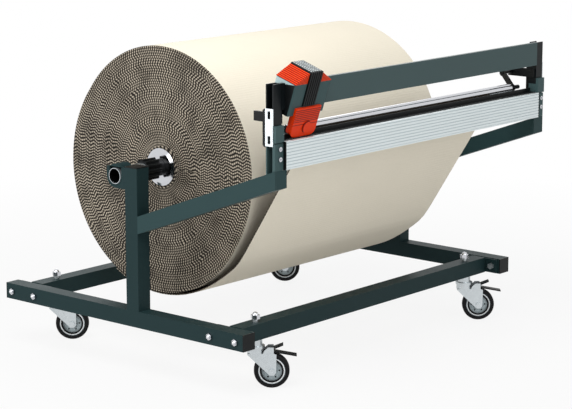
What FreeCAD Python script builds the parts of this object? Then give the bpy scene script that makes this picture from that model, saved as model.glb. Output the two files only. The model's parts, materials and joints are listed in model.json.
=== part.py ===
"""Mobile roll stand with a rail-guided cutter for wide rolls of single-face corrugated board.

Millimetres, +Z up. X runs along the roll, the operator stands at -Y, and the floor is Z = 0.
Pieces are laid out from the middle of the base, and baseSetBack puts that middle in the part's frame.
"""
import FreeCAD, Part
import Sketcher
import math
import os
import re

from FreeCAD import Base, Placement, Rotation, Vector

doc = FreeCAD.newDocument("RollStand")
sheet = doc.addObject("Spreadsheet::Sheet", "Dims")

# Driving dimensions, in millimetres and degrees
sizes = {
    # base frame
    "overallWidth": 1340,
    "railLength": 1010,
    "baseSetBack": 84.95,
    "tube": 50,
    "tubeWall": 3,
    "capPlate": 3,
    "castorHeight": 150,
    "crossInset": 55,
    "flangePlate": 8,
    "flangeLength": 140,
    "flangeBolts": 100,
    "boltRadius": 6,
    "boltGap": 0.3,
    "boltHead": 11,
    "boltHeadThick": 8,
    "nutRadiusSmall": 10.5,
    "nutThickSmall": 7,
    "nutRadiusLarge": 14,
    "nutThickLarge": 12,
    "plugDepth": 15,
    # posts, cradles and arms
    "postAhead": 85,
    "postAbove": 33,
    "shaftHeight": 605,
    "cradleWall": 12.5,
    "cradleLength": 46,
    "cradleLip": 27,
    "cradleWeld": 2,
    "armBelow": 113,
    "armReach": 541,
    "armSlope": 20.3,
    # uprights and the bar between them
    "uprightDepth": 28,
    "uprightWidth": 35,
    "uprightWall": 4,
    "cutSpace": 88.7,
    "barHeight": 74,
    "barDepth": 12,
    "barInset": 2,
    "facePlate": 6,
    "faceHeight": 76,
    "blockHeight": 47,
    "strapPlate": 3,
    "strapHeight": 106,
    "strapSlot": 22,
    "housingDepth": 14,
    # cutting profile
    "profileHeight": 80,
    "profileDepth": 28,
    "profileAhead": 15,
    "profileWall": 3,
    "grooveCount": 9,
    "grooveWidth": 2.4,
    "grooveDepth": 1.2,
    "endCap": 3,
    "stripDepth": 23.5,
    "stripBack": 8.5,
    "stripRise": 2,
    "lipRise": 14,
    "lipWidth": 1.8,
    "cutSlot": 4,
    "stripSeat": 8,
    # pressure roller
    "rollerRadius": 15,
    "rollerWall": 2,
    "rollerEndGap": 18,
    "rollerBack": 39,
    "rollerRise": 16.7,
    "axleRadius": 7,
    "axleStub": 29,
    "leverSpace": 61,
    "leverPlate": 6,
    "pivotBack": 38,
    "pivotRise": 46,
    "pivotRadius": 6,
    "pivotPlate": 8,
    "bracketHalf": 14,
    "leverHalf": 9,
    "leverEye": 12,
    # knife carriage
    "carriageWidth": 156,
    "carriageDepth": 75,
    "carriageHeight": 95,
    "carriageFront": 31,
    "carriageTop": 45,
    "carriageWall": 4,
    "carriageTilt": 18.5,
    "carriageGap": 13,
    "roofRise": 30,
    "roofRibs": 9,
    "roofRib": 1.2,
    "bandWidth": 54,
    "bandPlate": 3,
    "bandRib": 1.5,
    "bandRibs": 6,
    "bandDrop": 68,
    "guardWidth": 108,
    "guardTop": 27,
    "guardSplit": 78,
    "guardBottom": 116,
    "guardFront": 39,
    "guardBack": 20,
    "guardWall": 2.5,
    "guardCorner": 20,
    "padLength": 22,
    "buttonRadius": 16,
    "buttonOffset": 9,
    "buttonThick": 5,
    "buttonProud": 4,
    "buttonDrop": 88,
    "bladeRadius": 28,
    "bladeThick": 1.2,
    "shoulderRadius": 7.5,
    # shaft, cones and roll
    "shaftRadius": 24,
    "shaftWall": 3.5,
    "shaftOverhang": 4,
    "coneRadius": 58,
    "coneFace": 6,
    "coneLength": 70,
    "coneNose": 34,
    "nutRadius": 33,
    "nutLength": 76,
    "nutNose": 20,
    "nutTeeth": 12,
    "coreRadius": 47,
    "coreWall": 7,
    "rollRadius": 372,
    "nearSpace": 195,
    "farSpace": 225,
    "runGap": 0.3,
    # loose board
    "looseShift": 25,
    "looseTurn": 35,
    "looseGrow": 1,
    "webSlack": 32,
    "webStand": 14,
    "webBack": 10.5,
    "board": 4,
    # castors
    "castorInset": 93,
    "castorTurn": -49,
    "castorTrail": 48,
    "wheelRadius": 53,
    "tyreWidth": 27,
    "tyreBand": 13,
    "forkPlate": 3,
    "forkGap": 3,
    "headRadius": 28,
    "stemRadius": 8,
    "kingRadius": 6,
    "wheelAxle": 6,
    "stemShow": 9,
    "pedalWidth": 26,
    "pedalPlate": 4,
    "pedalReach": 122,
    "releaseReach": 82,
}

# Places and sizes that follow from the driving ones
derived = {
    "railTop": "castorHeight + tube",
    "railMid": "castorHeight + tube / 2",
    "halfWidth": "overallWidth / 2",
    "innerSide": "halfWidth - tube",
    "bore": "tube - 2 * tubeWall",
    "halfLength": "railLength / 2",
    "crossMid": "halfLength - crossInset - tube / 2",
    "crossHalf": "innerSide - flangePlate",
    "castorX": "innerSide - castorInset",
    "postFront": "0 - postAhead",
    "postRear": "tube - postAhead",
    "postTop": "shaftHeight + postAbove",
    "cradleBore": "shaftRadius + runGap",
    "cradleOuter": "cradleBore + cradleWall",
    "rollNear": "halfWidth - nearSpace",
    "rollFar": "halfWidth - farSpace",
    "shaftY": "postRear + cradleWeld + cradleOuter",
    "armTop": "shaftHeight - armBelow",
    "armFront": "postFront - armReach",
    "armRise": "armReach * tan(armSlope * 1 deg)",
    "armTall": "tube / cos(armSlope * 1 deg)",
    "armEnd": "armTop + armRise",
    "uprightFront": "armFront + facePlate",
    "uprightRear": "uprightFront + uprightDepth",
    "uprightInner": "halfWidth - uprightWidth",
    "uprightTop": "profileTop + cutSpace + barHeight",
    "barFront": "uprightFront - barInset",
    "barMidY": "barFront + barDepth / 2",
    "barLow": "uprightTop - barHeight",
    "barMidZ": "uprightTop - barHeight / 2",
    "profileFront": "uprightFront - profileAhead",
    "profileRear": "profileFront + profileDepth",
    "profileLow": "armEnd + boltGap",
    "profileTop": "profileLow + profileHeight",
    "profileHalf": "uprightInner - endCap - boltGap",
    "leverInner": "uprightInner - leverSpace",
    "axleEnd": "leverInner + leverPlate + axleStub",
    "rollerHalf": "leverInner - rollerEndGap",
    "rollerY": "profileRear + rollerBack",
    "rollerZ": "profileTop + rollerRise",
    "pivotY": "rollerY + pivotBack",
    "pivotZ": "rollerZ + pivotRise",
    "carriageX": "uprightInner - carriageGap - carriageWidth / 2",
    "carriageRear": "carriageDepth - carriageFront",
    "cutY": "profileRear - 5",
    "slotHalf": "barDepth / 2 + 3",
    "slotTop": "barHeight / 2 + 3",
    "armFace": "barMidY + slotHalf + 0.5",
    "bladeX": "buttonOffset - carriageX",
    "bladeY": "cutY",
    "bladeZ": "profileTop + stripRise - 5 + bladeRadius",
    "wheelZ": "wheelRadius",
    "forkInside": "tyreWidth / 2 + forkGap",
    "forkOutside": "forkInside + forkPlate",
    "crownLow": "2 * wheelRadius - 2",
    "headLow": "castorHeight - 28",
    "pedalLevel": "2 * wheelRadius + 3",
}

for index, (name, value) in enumerate(sizes.items(), start=1):
    sheet.set(f"A{index}", name)
    sheet.set(f"B{index}", str(value))
    sheet.setAlias(f"B{index}", name)
doc.recompute()


def expression(text):
    """A formula in the sheet's words, with each derived place written out."""
    def swap(found):
        word = found.group(0)
        if word in derived:
            return f"({expression(derived[word])})"
        return f"Dims.{word}" if word in sizes else word
    return re.sub(r"[A-Za-z]+", swap, str(text))


def value(text):
    result = sheet.evalExpression(expression(text))
    return float(getattr(result, "Value", result))


def bind(item, **formulas):
    for prop, formula in formulas.items():
        item.setExpression(prop.replace("_", "."), expression(formula))
    return item


def place(item, x=0, y=0, z=0, axis=None, angle=0):
    """Put an object at formulas x, y, z, turned by angle about axis."""
    if axis:
        item.Placement = Placement(Vector(), Rotation(axis, 1))
        item.Placement.Rotation.Axis = axis
    for letter, formula in zip("xyz", (x, y, z)):
        item.setExpression(f"Placement.Base.{letter}", expression(formula))
    if axis:
        item.setExpression("Placement.Rotation.Angle", f"({expression(angle)}) * 1 deg")
    return item


def box(x, y, z):
    """A box between two formulas on each axis."""
    item = doc.addObject("Part::Box", "Box")
    bind(item, Length=f"({x[1]}) - ({x[0]})", Width=f"({y[1]}) - ({y[0]})", Height=f"({z[1]}) - ({z[0]})")
    return place(item, x[0], y[0], z[0])


def rod(direction, start, length, radius):
    """A cylinder along X, Y or Z from the formulas in start."""
    item = doc.addObject("Part::Cylinder", "Rod")
    turn = {"X": Rotation(Vector(0, 1, 0), 90), "Y": Rotation(Vector(1, 0, 0), -90), "Z": Rotation()}
    item.Placement = Placement(Vector(), turn[direction])
    bind(item, Radius=radius, Height=length)
    return place(item, *start)


def hexagon(direction, start, length, radius):
    item = doc.addObject("Part::Prism", "Hexagon")
    turn = {"X": Rotation(Vector(0, 1, 0), 90), "Y": Rotation(Vector(1, 0, 0), -90), "Z": Rotation()}
    item.Polygon = 6
    item.Placement = Placement(Vector(), turn[direction])
    bind(item, Circumradius=radius, Height=length)
    return place(item, *start)


def ball(centre, radius):
    item = doc.addObject("Part::Sphere", "Ball")
    bind(item, Radius=radius)
    return place(item, *centre)


def fuse(*items):
    item = doc.addObject("Part::MultiFuse", "Fused")
    item.Shapes = list(items)
    item.Refine = True
    return item


def cut(base, *tools):
    item = doc.addObject("Part::Cut", "Cut")
    item.Base = base
    item.Tool = tools[0] if len(tools) == 1 else fuse(*tools)
    item.Refine = True
    return item


def group(*items):
    item = doc.addObject("Part::Compound", "Group")
    item.Links = list(items)
    return item


nodes = []


def node(label, item):
    """Name a finished sub-part and set it back with the base."""
    if item.TypeId not in ("Part::Cut", "Part::MultiFuse", "Part::Compound"):
        item = group(item)
    item.Label = label
    item.setExpression("Placement.Base.y", expression("baseSetBack"))
    nodes.append(item)
    return item


def newBody():
    return doc.addObject("PartDesign::Body", "Body")


def originPlane(body, role):
    return next(plane for plane in body.Origin.OriginFeatures if plane.Role == role)


def newSketch(body, role):
    sketch = body.newObject("Sketcher::SketchObject", "Sketch")
    sketch.AttachmentSupport = [(originPlane(body, role), "")]
    sketch.MapMode = "FlatFace"
    return sketch


def pin(sketch, edge, end, across, up):
    """Hold a sketch point at two formulas, measured from the sketch's origin."""
    for kind, formula in (("DistanceX", across), ("DistanceY", up)):
        held = sketch.addConstraint(Sketcher.Constraint(kind, -1, 1, edge, end, value(formula)))
        sketch.setExpression(f"Constraints[{held}]", expression(formula))


def outline(sketch, points):
    """A closed outline of straight edges whose corners are pairs of formulas."""
    corners = [Vector(value(across), value(up), 0) for across, up in points]
    first = sketch.GeometryCount
    for here, there in zip(corners, corners[1:] + corners[:1]):
        sketch.addGeometry(Part.LineSegment(here, there))
    count = len(corners)
    for step in range(count):
        ahead = (step + 1) % count
        sketch.addConstraint(Sketcher.Constraint("Coincident", first + step, 2, first + ahead, 1))
    for step, (across, up) in enumerate(points):
        pin(sketch, first + step, 1, across, up)


def pad(body, role, points, length, both=False):
    """Pad an outline from one of the body's origin planes."""
    sketch = newSketch(body, role)
    outline(sketch, points)
    feature = body.newObject("PartDesign::Pad", "Pad")
    feature.Profile = sketch
    feature.Midplane = both
    bind(feature, Length=length)
    return feature


def pocket(body, role, points, length, both=True):
    sketch = newSketch(body, role)
    outline(sketch, points)
    feature = body.newObject("PartDesign::Pocket", "Pocket")
    feature.Profile = sketch
    feature.Midplane = both
    bind(feature, Length=length)
    return feature


def revolve(body, role, points, axis):
    """Turn an outline a full circle about an axis of its own sketch."""
    sketch = newSketch(body, role)
    outline(sketch, points)
    feature = body.newObject("PartDesign::Revolution", "Revolution")
    feature.Profile = sketch
    feature.ReferenceAxis = (sketch, [axis])
    feature.Angle = 360
    return feature


def soften(body, feature, radius, chosen):
    """Round the edges of a feature that a test picks."""
    doc.recompute()
    names = [f"Edge{number}" for number, edge in enumerate(feature.Shape.Edges, start=1) if chosen(edge)]
    fillet = body.newObject("PartDesign::Fillet", "Fillet")
    fillet.Base = (feature, names)
    bind(fillet, Radius=radius)
    return fillet


def alongX(edge):
    ends = [vertex.Point for vertex in edge.Vertexes]
    return len(ends) == 2 and abs(ends[0].y - ends[1].y) < 0.01 and abs(ends[0].z - ends[1].z) < 0.01


def alongY(edge):
    ends = [vertex.Point for vertex in edge.Vertexes]
    return len(ends) == 2 and abs(ends[0].x - ends[1].x) < 0.01 and abs(ends[0].z - ends[1].z) < 0.01


SIDES = {"left": -1, "right": 1}


def span(side, near, far):
    """Two formulas on X, measured from the middle towards one side."""
    if side > 0:
        return (near, far)
    return (f"0 - ({far})", f"0 - ({near})")


def xAt(side, formula):
    return formula if side > 0 else f"0 - ({formula})"


def squareTube(x, y, z, along):
    """A hollow square tube; along is the axis that it runs on."""
    ranges = {"X": x, "Y": y, "Z": z}
    inner = {}
    for axis, (low, high) in ranges.items():
        if axis == along:
            inner[axis] = (f"({low}) - 1", f"({high}) + 1")
        else:
            inner[axis] = (f"({low}) + tubeWall", f"({high}) - tubeWall")
    return cut(box(x, y, z), box(inner["X"], inner["Y"], inner["Z"]))


# Bolt places on a side rail: two at each cross rail
boltRows = [f"{end}crossMid {shift} flangeBolts / 2" for end in ("0 - ", "") for shift in ("-", "+")]


def makeSideRail(name, side):
    x = span(side, "innerSide", "halfWidth")
    ends = ("0 - halfLength + capPlate", "halfLength - capPlate")
    rail = squareTube(x, ends, ("castorHeight", "railTop"), "Y")
    holes = [
        rod("X", (f"({x[0]}) - 1", row, "railMid"), "tube + 2", "boltRadius + boltGap") for row in boltRows
    ]
    node(name, cut(rail, *holes))


def makeCrossRail(name, end):
    mid = f"{end}crossMid"
    y = (f"{mid} - tube / 2", f"{mid} + tube / 2")
    bar = squareTube(("0 - crossHalf", "crossHalf"), y, ("castorHeight", "railTop"), "X")
    pieces = [bar]
    for side in SIDES.values():
        x = span(side, "crossHalf", "innerSide")
        flange = box(
            x,
            (f"{mid} - flangeLength / 2", f"{mid} + flangeLength / 2"),
            ("castorHeight + 2", "railTop - 2"),
        )
        pieces.append(flange)
    stems = [
        rod("Z", (xAt(side, "castorX"), mid, "castorHeight - 1"), "tube + 2", "stemRadius + boltGap")
        for side in SIDES.values()
    ]
    holes = [
        rod("X", ("0 - innerSide - 1", f"{mid} {shift} flangeBolts / 2", "railMid"), "2 * innerSide + 2",
            "boltRadius + boltGap")
        for shift in ("-", "+")
    ]
    node(name, cut(fuse(*pieces), *stems, *holes))


def domeNut(direction, start, sense, radius, thick):
    """A hexagon nut with a domed cap; sense is +1 or -1 along its axis."""
    x, y, z = start
    if direction == "X":
        low = x if sense > 0 else f"({x}) - ({thick})"
        tip = f"({x}) + {sense} * ({thick})"
        parts = [hexagon("X", (low, y, z), thick, radius), ball((tip, y, z), f"0.66 * ({radius})")]
    else:
        tip = f"({z}) + ({thick})"
        parts = [hexagon("Z", (x, y, z), thick, radius), ball((x, y, tip), f"0.66 * ({radius})")]
    return fuse(*parts)


def makeFrameFasteners():
    bolts = []
    nuts = []
    washerInside = "innerSide - flangePlate"
    for side in SIDES.values():
        for row in boltRows:
            x = span(side, washerInside, "halfWidth")
            shank = rod("X", (x[0], row, "railMid"), "tube + flangePlate", "boltRadius")
            head = span(side, f"{washerInside} - boltHeadThick", washerInside)
            bolts.append(fuse(shank, hexagon("X", (head[0], row, "railMid"), "boltHeadThick", "boltHead")))
            start = (xAt(side, "halfWidth"), row, "railMid")
            nuts.append(domeNut("X", start, side, "nutRadiusSmall", "nutThickSmall"))
    for side in SIDES.values():
        for end in ("0 - ", ""):
            start = (xAt(side, "castorX"), f"{end}crossMid", "railTop + stemShow")
            nuts.append(cut(domeNut("Z", start, 1, "nutRadiusLarge", "nutThickLarge"),
                            rod("Z", (start[0], start[1], "railTop"), "stemShow + 8", "stemRadius")))
    node("frame_bolts", group(*bolts))
    node("cap_nuts", group(*nuts))


def makeTubeCaps():
    caps = []
    for side in SIDES.values():
        x = span(side, "innerSide", "halfWidth")
        plug = span(side, "innerSide + tubeWall", "halfWidth - tubeWall")
        inside = ("castorHeight + tubeWall", "railTop - tubeWall")
        inner = ("0 - halfLength + capPlate", "0 - halfLength + capPlate + plugDepth")
        caps.append(fuse(box(x, ("0 - halfLength", "0 - halfLength + capPlate"), ("castorHeight", "railTop")),
                         box(plug, inner, inside)))
        caps.append(fuse(box(x, ("halfLength - capPlate", "halfLength"), ("castorHeight", "railTop")),
                         box(plug, ("halfLength - capPlate - plugDepth", "halfLength - capPlate"), inside)))
        caps.append(fuse(box(x, ("postFront", "postRear"), ("postTop - capPlate", "postTop")),
                         box(plug, ("postFront + tubeWall", "postRear - tubeWall"),
                             ("postTop - capPlate - plugDepth", "postTop - capPlate"))))
    node("tube_caps", group(*caps))


def armEnvelope(x, shrink, ends):
    """The slanting box of an arm: a pad of its side view, less the same amount all round."""
    body = newBody()
    front, rear = ends
    lift = f"({shrink}) / cos(armSlope * 1 deg)"
    slope = "tan(armSlope * 1 deg)"
    topFront = f"armTop + (postFront - ({front})) * {slope} - {lift}"
    topRear = f"armTop + (postFront - ({rear})) * {slope} - {lift}"
    drop = f"(armTall - 2 * {lift})"
    pad(body, "YZ_Plane", [
        (rear, topRear), (front, topFront), (front, f"{topFront} - {drop}"), (rear, f"{topRear} - {drop}"),
    ], f"({x[1]}) - ({x[0]})")
    return place(body, x=x[0])


def makePost(name, side):
    x = span(side, "innerSide", "halfWidth")
    node(name, squareTube(x, ("postFront", "postRear"), ("railTop", "postTop - capPlate"), "Z"))


def makeArm(name, side):
    x = span(side, "innerSide", "halfWidth")
    inside = span(side, "innerSide + tubeWall", "halfWidth - tubeWall")
    solid = armEnvelope(x, "0", ("armFront", "postFront"))
    hollow = armEnvelope(inside, "tubeWall", ("armFront + tubeWall", "postFront + 1"))
    node(name, cut(solid, hollow))


def makeCradles():
    cradles = []
    for side in SIDES.values():
        x = span(side, "halfWidth - cradleLength", "halfWidth")
        low = "shaftHeight - cradleOuter"
        lip = "shaftHeight + cradleLip"
        rear = "shaftY + cradleOuter"
        saddle = fuse(
            rod("X", (x[0], "shaftY", "shaftHeight"), "cradleLength", "cradleOuter"),
            box(x, ("shaftY - cradleOuter", rear), ("shaftHeight", lip)),
            box(x, ("postRear", "shaftY"), (low, lip)),
        )
        reach = (f"({x[0]}) - 1", f"({x[1]}) + 1")
        seat = rod("X", (reach[0], "shaftY", "shaftHeight"), "cradleLength + 2", "cradleBore")
        mouth = box(reach, ("shaftY - cradleBore", "shaftY + cradleBore"), ("shaftHeight", f"{lip} + 1"))
        cradles.append(cut(saddle, seat, mouth))
    node("shaft_cradles", group(*cradles))


def makeUpright(name, side):
    """A channel that is open on its outer side and stands on the sloping arm."""
    low = "armTop"
    x = span(side, "uprightInner", "halfWidth")
    hollow = span(side, "uprightInner + uprightWall", "halfWidth + 1")
    channel = box(x, ("uprightFront", "uprightRear"), (low, "uprightTop"))
    space = box(hollow, ("uprightFront + uprightWall", "uprightRear - uprightWall"),
                (f"{low} - 1", "uprightTop + 1"))
    foot = armEnvelope((f"({x[0]}) - 1", f"({x[1]}) + 1"), "0", ("armFront - 5", "postFront"))
    below = box((f"({x[0]}) - 1", f"({x[1]}) + 1"), ("uprightFront - 1", "uprightRear + 1"),
                (f"{low} - 2", "armEnd - tube"))
    node(name, cut(channel, space, foot, below))


def makeBar():
    node("upper_bar", box(("0 - uprightInner", "uprightInner"), ("barFront", "barFront + barDepth"),
                          ("barLow", "uprightTop")))


def makeFacePieces():
    """Bolted plates and end blocks on the fronts of the uprights, with two socket screws each side."""
    plates = []
    screws = []
    for side in SIDES.values():
        x = span(side, "uprightInner", "halfWidth")
        plates.append(box(x, ("armFront", "uprightFront"), ("profileLow", "profileLow + faceHeight")))
        plates.append(box(x, ("armFront - 3", "uprightFront"),
                          ("profileLow + faceHeight + 3", "profileLow + faceHeight + 3 + blockHeight")))
        for share in ("0.42", "0.8"):
            start = (xAt(side, "(uprightInner + halfWidth) / 2"), "armFront - 6",
                     f"profileLow + {share} * faceHeight")
            head = rod("Y", start, "6", "6.5")
            socket = hexagon("Y", (start[0], "armFront - 7", start[2]), "4", "3.4")
            screws.append(cut(head, socket))
    node("face_plates", group(*plates))
    node("socket_screws", group(*screws))


def makeStrapsAndHousings():
    straps = []
    housings = []
    low = "barLow - 100"
    for side in SIDES.values():
        x = span(side, "halfWidth", "halfWidth + strapPlate")
        strap = box(x, ("uprightFront", "uprightRear"), (low, f"{low} + strapHeight"))
        middle = "(uprightFront + uprightRear) / 2"
        through = (f"({x[0]}) - 1", f"({x[1]}) + 1")
        slots = [
            box(through, (f"{middle} - 5", f"{middle} + 5"), (bottom, f"{bottom} + strapSlot"))
            for bottom in (f"{low} + 7", f"{low} + strapHeight - 7 - strapSlot")
        ]
        straps.append(cut(strap, *slots))
        body = newBody()
        width = span(side, "uprightInner + 5", "halfWidth - 2")
        back = "uprightRear + housingDepth"
        bottom, top = f"{low} - 4", f"{low} + strapHeight - 2"
        feature = pad(body, "YZ_Plane", [
            ("uprightRear", bottom), (back, bottom), (back, top), ("uprightRear", top),
        ], f"({width[1]}) - ({width[0]})")
        soften(body, feature, "housingDepth * 0.6",
               lambda edge: alongX(edge) and edge.Vertexes[0].Y > value("uprightRear") + 1)
        housings.append(place(body, x=width[0]))
    node("slotted_straps", group(*straps))
    node("lever_housings", group(*housings))


def makeProfile():
    """The grooved aluminium front of the cutting unit, hollow behind its face."""
    body = newBody()
    points = [("profileRear", "profileLow"), ("profileRear", "profileTop"), ("profileFront", "profileTop")]
    count = int(sizes["grooveCount"])
    for groove in range(count):
        middle = f"profileTop - profileHeight * {groove + 0.5} / {count}"
        points += [("profileFront", f"{middle} + grooveWidth / 2"),
                   ("profileFront + grooveDepth", f"{middle} + grooveWidth / 4"),
                   ("profileFront + grooveDepth", f"{middle} - grooveWidth / 4"),
                   ("profileFront", f"{middle} - grooveWidth / 2")]
    points.append(("profileFront", "profileLow"))
    pad(body, "YZ_Plane", points, "2 * profileHalf", both=True)
    inside = ("profileFront + grooveDepth + profileWall", "profileRear - profileWall")
    floor = "profileLow + profileWall"
    roof = "profileTop - stripSeat - profileWall"
    pocket(body, "YZ_Plane", [(inside[0], floor), (inside[1], floor), (inside[1], roof), (inside[0], roof)],
           "2 * profileHalf + 2")
    seat = ("profileRear + stripBack - stripDepth", "profileRear + 1")
    pocket(body, "YZ_Plane", [(seat[0], "profileTop - stripSeat"), (seat[1], "profileTop - stripSeat"),
                              (seat[1], "profileTop + 1"), (seat[0], "profileTop + 1")], "2 * profileHalf + 2")
    node("front_profile", place(body))


def makeProfileCaps():
    caps = []
    for side in SIDES.values():
        body = newBody()
        x = span(side, "uprightInner - endCap", "uprightInner")
        feature = pad(body, "YZ_Plane", [
            ("profileRear", "profileLow"), ("profileRear", "profileTop"),
            ("profileFront", "profileTop"), ("profileFront", "profileLow"),
        ], "endCap")
        soften(body, feature, "3",
               lambda edge: alongX(edge) and edge.Vertexes[0].Y < value("profileFront") + 1)
        caps.append(place(body, x=x[0]))
    node("profile_end_caps", group(*caps))


def makeCuttingStrip():
    """A black strip let into the top of the profile, with the knife's slot and a lip behind it."""
    body = newBody()
    front, rear = "profileRear + stripBack - stripDepth", "profileRear + stripBack"
    low = "profileTop - stripSeat"
    top = "profileTop + stripRise"
    slot = ("cutY - cutSlot / 2 + 0.5", "cutY + cutSlot / 2 - 0.5")
    lip = f"{rear} - lipWidth"
    pad(body, "YZ_Plane", [
        (front, low), (rear, low), (rear, "profileTop + lipRise"), (lip, "profileTop + lipRise"), (lip, top),
        (slot[1], top), (slot[1], f"{low} + 1"), (slot[0], f"{low} + 1"), (slot[0], top), (front, top),
    ], "2 * profileHalf", both=True)
    node("cutting_strip", place(body))


def makePivotBrackets():
    brackets = []
    for side in SIDES.values():
        x = span(side, "uprightInner - pivotPlate", "uprightInner")
        plate = box(x, ("uprightFront + uprightWall", "pivotY + bracketHalf"),
                    ("pivotZ - bracketHalf", "pivotZ + bracketHalf"))
        pin_x = span(side, "leverInner - 2", "uprightInner - pivotPlate")
        pivot = rod("X", (pin_x[0], "pivotY", "pivotZ"), f"({pin_x[1]}) - ({pin_x[0]})", "pivotRadius")
        brackets.append(fuse(plate, pivot))
    node("pivot_brackets", group(*brackets))


def makeRollerFrame():
    levers = []
    for side in SIDES.values():
        x = span(side, "leverInner", "leverInner + leverPlate")
        body = newBody()
        half = "leverHalf"
        length = "sqrt(pivotBack * pivotBack + pivotRise * pivotRise)"
        acrossY = f"({half} * pivotRise / {length})"
        acrossZ = f"({half} * pivotBack / {length})"
        pad(body, "YZ_Plane", [
            (f"rollerY + {acrossY}", f"rollerZ - {acrossZ}"), (f"pivotY + {acrossY}", f"pivotZ - {acrossZ}"),
            (f"pivotY - {acrossY}", f"pivotZ + {acrossZ}"), (f"rollerY - {acrossY}", f"rollerZ + {acrossZ}"),
        ], "leverPlate")
        place(body, x=x[0])
        eye = rod("X", (x[0], "pivotY", "pivotZ"), "leverPlate", "leverEye")
        boss = rod("X", (x[0], "rollerY", "rollerZ"), "leverPlate", "leverEye - 1")
        hole = rod("X", (f"({x[0]}) - 1", "pivotY", "pivotZ"), "leverPlate + 2", "pivotRadius + runGap")
        seat = rod("X", (f"({x[0]}) - 1", "rollerY", "rollerZ"), "leverPlate + 2", "axleRadius")
        levers.append(cut(fuse(body, eye, boss), hole, seat))
    axle = rod("X", ("0 - axleEnd", "rollerY", "rollerZ"), "2 * axleEnd", "axleRadius")
    node("roller_levers", fuse(axle, *levers))
    outer = rod("X", ("0 - rollerHalf", "rollerY", "rollerZ"), "2 * rollerHalf", "rollerRadius")
    inner = rod("X", ("0 - rollerHalf - 1", "rollerY", "rollerZ"), "2 * rollerHalf + 2",
                "rollerRadius - rollerWall")
    bushes = []
    for side in SIDES.values():
        x = span(side, "rollerHalf - 18", "rollerHalf")
        bushes.append(cut(rod("X", (x[0], "rollerY", "rollerZ"), "18", "rollerRadius - rollerWall"),
                          rod("X", (f"({x[0]}) - 1", "rollerY", "rollerZ"), "20", "axleRadius + runGap")))
    node("pressure_roller", cut(outer, inner))
    node("roller_bushes", group(*bushes))


def onCarriage(item):
    """Place a piece that is drawn in the carriage's own leaning frame."""
    return place(item, x="0 - carriageX", y="barMidY", z="barMidZ", axis=Vector(1, 0, 0), angle="carriageTilt")


def carriageNode(label, *items):
    """A piece of the carriage: drawn straight, then leant forward about the bar."""
    node(label, group(onCarriage(group(*items))))


def makeCarriageBody():
    body = newBody()
    front, rear = "0 - carriageFront", "carriageRear"
    top, low = "carriageTop", "carriageTop - carriageHeight"
    feature = pad(body, "YZ_Plane", [(front, low), (rear, low), (rear, top), (front, top)],
                  "carriageWidth", both=True)
    upright = value("carriageHeight") / 2
    soften(body, feature, "6", lambda edge: abs(edge.Vertexes[0].Z - edge.Vertexes[-1].Z) > upright)
    inFront, inRear = f"{front} + carriageWall", f"{rear} - carriageWall"
    inLow, inTop = f"{low} + carriageWall", f"{top} - carriageWall"
    pocket(body, "YZ_Plane", [(inFront, inLow), (inRear, inLow), (inRear, inTop), (inFront, inTop)],
           "carriageWidth - 2 * carriageWall")
    turned = []
    for across, up in (("0 - slotHalf", "0 - 150"), ("slotHalf", "0 - 150"), ("slotHalf", "slotTop"),
                       ("0 - slotHalf", "slotTop")):
        turned.append((f"({across}) * cos(carriageTilt * 1 deg) + ({up}) * sin(carriageTilt * 1 deg)",
                       f"({up}) * cos(carriageTilt * 1 deg) - ({across}) * sin(carriageTilt * 1 deg)"))
    pocket(body, "YZ_Plane", turned, "carriageWidth + 2")
    arm = box(("bladeX - 12", "bladeX + 12"), ("armFace", "armFace + 4"), ("bladeZ - 8", "barLow - 6"))
    shoulder = rod("Y", ("bladeX", "bladeY + bladeThick / 2 + runGap", "bladeZ"),
                   "armFace - bladeY - bladeThick / 2 - runGap", "shoulderRadius")
    axle = rod("Y", ("bladeX", "bladeY - bladeThick / 2 - runGap - 2", "bladeZ"), "6", "4")
    head = rod("Y", ("bladeX", "bladeY - bladeThick / 2 - runGap - 2.5", "bladeZ"), "2.5", "7")
    node("carriage_body", fuse(onCarriage(group(body)), arm, shoulder, axle, head))


def makeCarriageRoof():
    """The orange roof, with fine ribs that run from front to back on both slopes."""
    body = newBody()
    half, ridge, top = "carriageWidth / 2", "bandWidth / 2", "carriageTop"
    length = f"sqrt(({half} - {ridge})^2 + roofRise^2)"
    def slope(side):
        ribs = []
        for rib in range(int(sizes["roofRibs"])):
            for share, proud in ((0.1, 0), (0.25, 1), (0.75, 1), (0.9, 0)):
                step = f"({rib + share} / roofRibs)"
                across = f"{half} - ({half} - {ridge}) * {step} + {proud} * roofRib * roofRise / {length}"
                up = f"{top} + roofRise * {step} + {proud} * roofRib * ({half} - {ridge}) / {length}"
                ribs.append((f"{side} * ({across})", up))
        return ribs
    points = [(half, top), *slope(1), (ridge, f"{top} + roofRise"), (f"0 - {ridge}", f"{top} + roofRise"),
              *reversed(slope(-1)), (f"0 - {half}", top)]
    pad(body, "XZ_Plane", points, "carriageDepth")
    place(body, y="carriageRear")
    carriageNode("carriage_roof", body)


def makeGripBand():
    """A ribbed black band over the ridge and down the front of the carriage."""
    front, rear = "0 - carriageFront", "carriageRear"
    top = "carriageTop + roofRise"
    def strap(x, thick):
        body = newBody()
        above, ahead = f"{top} + {thick}", f"{front} - ({thick})"
        low = f"{top} - roofRise - bandDrop"
        pad(body, "YZ_Plane", [
            (rear, top), (rear, above), (ahead, above), (ahead, low), (front, low), (front, top),
        ], f"({x[1]}) - ({x[0]})")
        return place(body, x=x[0])
    pieces = [strap(("0 - bandWidth / 2", "bandWidth / 2"), "bandPlate")]
    count = int(sizes["bandRibs"])
    pitch = f"bandWidth / {count}"
    for rib in range(count):
        start = f"0 - bandWidth / 2 + {pitch} * {rib} + {pitch} * 0.2"
        pieces.append(strap((start, f"{start} + {pitch} * 0.6"), "(bandPlate + bandRib)"))
    carriageNode("grip_band", fuse(*pieces))


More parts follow.
